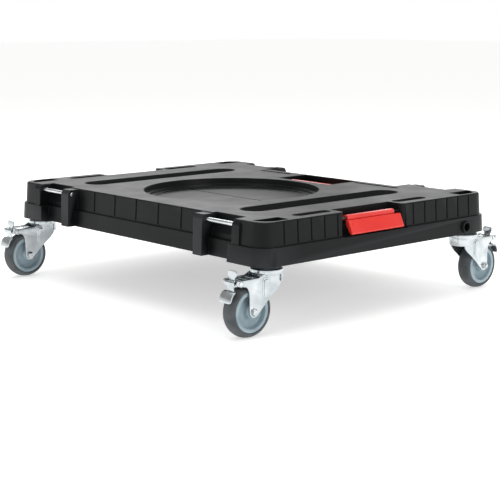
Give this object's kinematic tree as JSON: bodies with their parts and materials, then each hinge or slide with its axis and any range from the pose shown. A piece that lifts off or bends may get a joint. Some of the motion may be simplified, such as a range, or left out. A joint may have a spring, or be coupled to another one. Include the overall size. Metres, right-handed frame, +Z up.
{
  "type": "furniture dolly",
  "caption": "Low rectangular moulded platform with a round dish, side tie rods and red hinged latches, rolling on corner swivel casters with foot brakes.",
  "frame": {"origin": "on the floor, under the middle of the bounding box", "axes": "+Z up; +Y along the long side, from the latch end to the plain end; +X along the short side, towards the grip recess"},
  "size_m": [0.5808, 0.6314, 0.159],
  "materials": {
    "body_plastic": "moulded black polypropylene with a fine satin grain",
    "latch_plastic": "moulded red plastic, semi-gloss",
    "zinc_steel": "bright zinc-plated steel",
    "race_steel": "dark greased race steel",
    "tread_rubber": "matt dark grey thermoplastic rubber",
    "wheel_plastic": "moulded blue-grey polypropylene"
  },
  "bodies": {
    "platform": {"deck": "body_plastic", "front_latch_pin": "zinc_steel", "front_left_kingpin": "zinc_steel", "front_left_kingpin_nut": "zinc_steel", "front_left_raceway": "race_steel", "front_right_kingpin": "zinc_steel", "front_right_kingpin_nut": "zinc_steel", "front_right_raceway": "race_steel", "rear_left_kingpin": "zinc_steel", "rear_left_kingpin_nut": "zinc_steel", "rear_left_raceway": "race_steel", "rear_right_kingpin": "zinc_steel", "rear_right_kingpin_nut": "zinc_steel", "rear_right_raceway": "race_steel", "side_latch_pin": "zinc_steel", "tie_rod_left_front": "zinc_steel", "tie_rod_left_rear": "zinc_steel", "tie_rod_right_front": "zinc_steel", "tie_rod_right_rear": "zinc_steel", "tube_socket_front": "body_plastic", "tube_socket_rear": "body_plastic"},
    "front_latch_body": {"front_latch": "latch_plastic"},
    "side_latch_body": {"side_latch": "latch_plastic"},
    "front_left_fork_body": {"front_left_fork": "zinc_steel", "front_left_axle_bolt": "zinc_steel", "front_left_axle_nut": "zinc_steel", "front_left_axle_sleeve": "zinc_steel", "front_left_brake_pin": "zinc_steel"},
    "front_left_wheel": {"front_left_wheel_centre": "wheel_plastic", "front_left_tyre": "tread_rubber"},
    "front_left_lever": {"front_left_brake_lever": "zinc_steel"},
    "front_left_shoe": {"front_left_brake_shoe": "zinc_steel"},
    "front_right_fork_body": {"front_right_fork": "zinc_steel", "front_right_axle_bolt": "zinc_steel", "front_right_axle_nut": "zinc_steel", "front_right_axle_sleeve": "zinc_steel", "front_right_brake_pin": "zinc_steel"},
    "front_right_wheel": {"front_right_wheel_centre": "wheel_plastic", "front_right_tyre": "tread_rubber"},
    "front_right_lever": {"front_right_brake_lever": "zinc_steel"},
    "front_right_shoe": {"front_right_brake_shoe": "zinc_steel"},
    "rear_left_fork_body": {"rear_left_fork": "zinc_steel", "rear_left_axle_bolt": "zinc_steel", "rear_left_axle_nut": "zinc_steel", "rear_left_axle_sleeve": "zinc_steel", "rear_left_brake_pin": "zinc_steel"},
    "rear_left_wheel": {"rear_left_wheel_centre": "wheel_plastic", "rear_left_tyre": "tread_rubber"},
    "rear_left_lever": {"rear_left_brake_lever": "zinc_steel"},
    "rear_left_shoe": {"rear_left_brake_shoe": "zinc_steel"},
    "rear_right_fork_body": {"rear_right_fork": "zinc_steel", "rear_right_axle_bolt": "zinc_steel", "rear_right_axle_nut": "zinc_steel", "rear_right_axle_sleeve": "zinc_steel", "rear_right_brake_pin": "zinc_steel"},
    "rear_right_wheel": {"rear_right_wheel_centre": "wheel_plastic", "rear_right_tyre": "tread_rubber"},
    "rear_right_lever": {"rear_right_brake_lever": "zinc_steel"},
    "rear_right_shoe": {"rear_right_brake_shoe": "zinc_steel"}
  },
  "joints": [
    {"name": "front_latch_hinge", "type": "hinge", "parent": "platform", "child": "front_latch_body", "pos_m": [-0.018, -0.296, 0.148], "axis": [-1, 0, 0], "range_deg": [0, 35], "stiffness_Nm_per_rad": 0.05},
    {"name": "side_latch_hinge", "type": "hinge", "parent": "platform", "child": "side_latch_body", "pos_m": [0.137, -0.015, 0.1518], "axis": [0, -1, 0], "range_deg": [0, 25], "stiffness_Nm_per_rad": 0.05},
    {"name": "front_left_swivel", "type": "hinge", "parent": "platform", "child": "front_left_fork_body", "pos_m": [-0.2135, -0.2845, 0.0902], "axis": [0, 0, 1], "continuous": true},
    {"name": "front_left_wheel_spin", "type": "hinge", "parent": "front_left_fork_body", "child": "front_left_wheel", "pos_m": [-0.25, -0.2845, 0.0375], "axis": [0, 1, 0], "continuous": true},
    {"name": "front_left_brake_press", "type": "hinge", "parent": "front_left_fork_body", "child": "front_left_lever", "pos_m": [-0.2735, -0.2845, 0.08], "axis": [0, -1, 0], "range_deg": [0, 4.5]},
    {"name": "front_left_shoe_swing", "type": "hinge", "parent": "front_left_fork_body", "child": "front_left_shoe", "pos_m": [-0.244, -0.2845, 0.0803], "axis": [0, -1, 0], "range_deg": [0, 3.6]},
    {"name": "front_right_swivel", "type": "hinge", "parent": "platform", "child": "front_right_fork_body", "pos_m": [0.2135, -0.2845, 0.0902], "axis": [0, 0, 1], "continuous": true},
    {"name": "front_right_wheel_spin", "type": "hinge", "parent": "front_right_fork_body", "child": "front_right_wheel", "pos_m": [0.25, -0.2845, 0.0375], "axis": [0, 1, 0], "continuous": true},
    {"name": "front_right_brake_press", "type": "hinge", "parent": "front_right_fork_body", "child": "front_right_lever", "pos_m": [0.2735, -0.2845, 0.08], "axis": [0, 1, 0], "range_deg": [0, 4.5]},
    {"name": "front_right_shoe_swing", "type": "hinge", "parent": "front_right_fork_body", "child": "front_right_shoe", "pos_m": [0.244, -0.2845, 0.0803], "axis": [0, 1, 0], "range_deg": [0, 3.6]},
    {"name": "rear_left_swivel", "type": "hinge", "parent": "platform", "child": "rear_left_fork_body", "pos_m": [-0.2135, 0.2845, 0.0902], "axis": [0, 0, 1], "continuous": true},
    {"name": "rear_left_wheel_spin", "type": "hinge", "parent": "rear_left_fork_body", "child": "rear_left_wheel", "pos_m": [-0.25, 0.2845, 0.0375], "axis": [0, 1, 0], "continuous": true},
    {"name": "rear_left_brake_press", "type": "hinge", "parent": "rear_left_fork_body", "child": "rear_left_lever", "pos_m": [-0.2735, 0.2845, 0.08], "axis": [0, -1, 0], "range_deg": [0, 4.5]},
    {"name": "rear_left_shoe_swing", "type": "hinge", "parent": "rear_left_fork_body", "child": "rear_left_shoe", "pos_m": [-0.244, 0.2845, 0.0803], "axis": [0, -1, 0], "range_deg": [0, 3.6]},
    {"name": "rear_right_swivel", "type": "hinge", "parent": "platform", "child": "rear_right_fork_body", "pos_m": [0.2135, 0.2845, 0.0902], "axis": [0, 0, 1], "continuous": true},
    {"name": "rear_right_wheel_spin", "type": "hinge", "parent": "rear_right_fork_body", "child": "rear_right_wheel", "pos_m": [0.25, 0.2845, 0.0375], "axis": [0, 1, 0], "continuous": true},
    {"name": "rear_right_brake_press", "type": "hinge", "parent": "rear_right_fork_body", "child": "rear_right_lever", "pos_m": [0.2735, 0.2845, 0.08], "axis": [0, 1, 0], "range_deg": [0, 4.5]},
    {"name": "rear_right_shoe_swing", "type": "hinge", "parent": "rear_right_fork_body", "child": "rear_right_shoe", "pos_m": [0.244, 0.2845, 0.0803], "axis": [0, 1, 0], "range_deg": [0, 3.6]}
  ],
  "couplings": [
    {"joint": "front_left_shoe_swing", "follows": "front_left_brake_press", "ratio": 0.8},
    {"joint": "front_right_shoe_swing", "follows": "front_right_brake_press", "ratio": 0.8},
    {"joint": "rear_left_shoe_swing", "follows": "rear_left_brake_press", "ratio": 0.8},
    {"joint": "rear_right_shoe_swing", "follows": "rear_right_brake_press", "ratio": 0.8}
  ]
}
